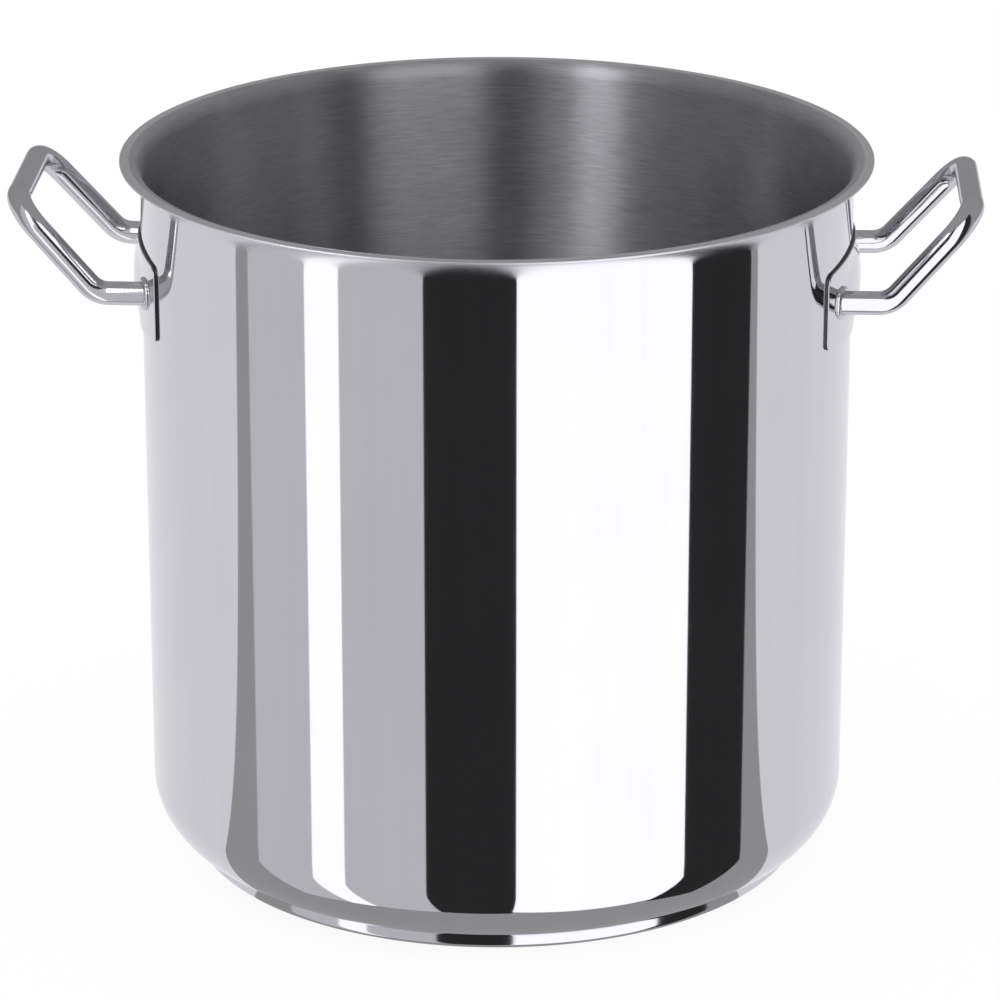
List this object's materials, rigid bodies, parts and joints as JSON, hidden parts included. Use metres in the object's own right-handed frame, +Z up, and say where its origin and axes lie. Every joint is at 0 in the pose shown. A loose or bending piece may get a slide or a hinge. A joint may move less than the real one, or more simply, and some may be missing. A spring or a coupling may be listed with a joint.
{
  "type": "stock pot",
  "caption": "Tall round stainless-steel stock pot with a flared pouring rim, an encapsulated sandwich base and fixed tube handles on bracket plates.",
  "frame": {"origin": "centre of the underside of the base, on the surface the pot stands on", "axes": "+Z up along the pot's axis, X through the two handles (+X right handle), Y across them (-Y towards the viewer)"},
  "size_m": [0.4906, 0.3822, 0.3692],
  "materials": {
    "shell_steel": "mirror polished outside, brushed round the axis inside",
    "cap_steel": "polished edge, turned underside",
    "core_aluminium": "plain, sealed inside the base",
    "plate_steel": "polished",
    "tube_steel": "polished",
    "weld_steel": "dressed weld bead"
  },
  "bodies": {
    "root": {"pot_shell": "shell_steel", "base_core": "core_aluminium", "base_cap": "cap_steel", "handle_plate_left": "plate_steel", "handle_tube_left": "tube_steel", "tube_weld_left_front": "weld_steel", "tube_weld_left_back": "weld_steel", "spot_welds_left": "weld_steel", "handle_plate_right": "plate_steel", "handle_tube_right": "tube_steel", "tube_weld_right_front": "weld_steel", "tube_weld_right_back": "weld_steel", "spot_welds_right": "weld_steel"}
  },
  "joints": []
}
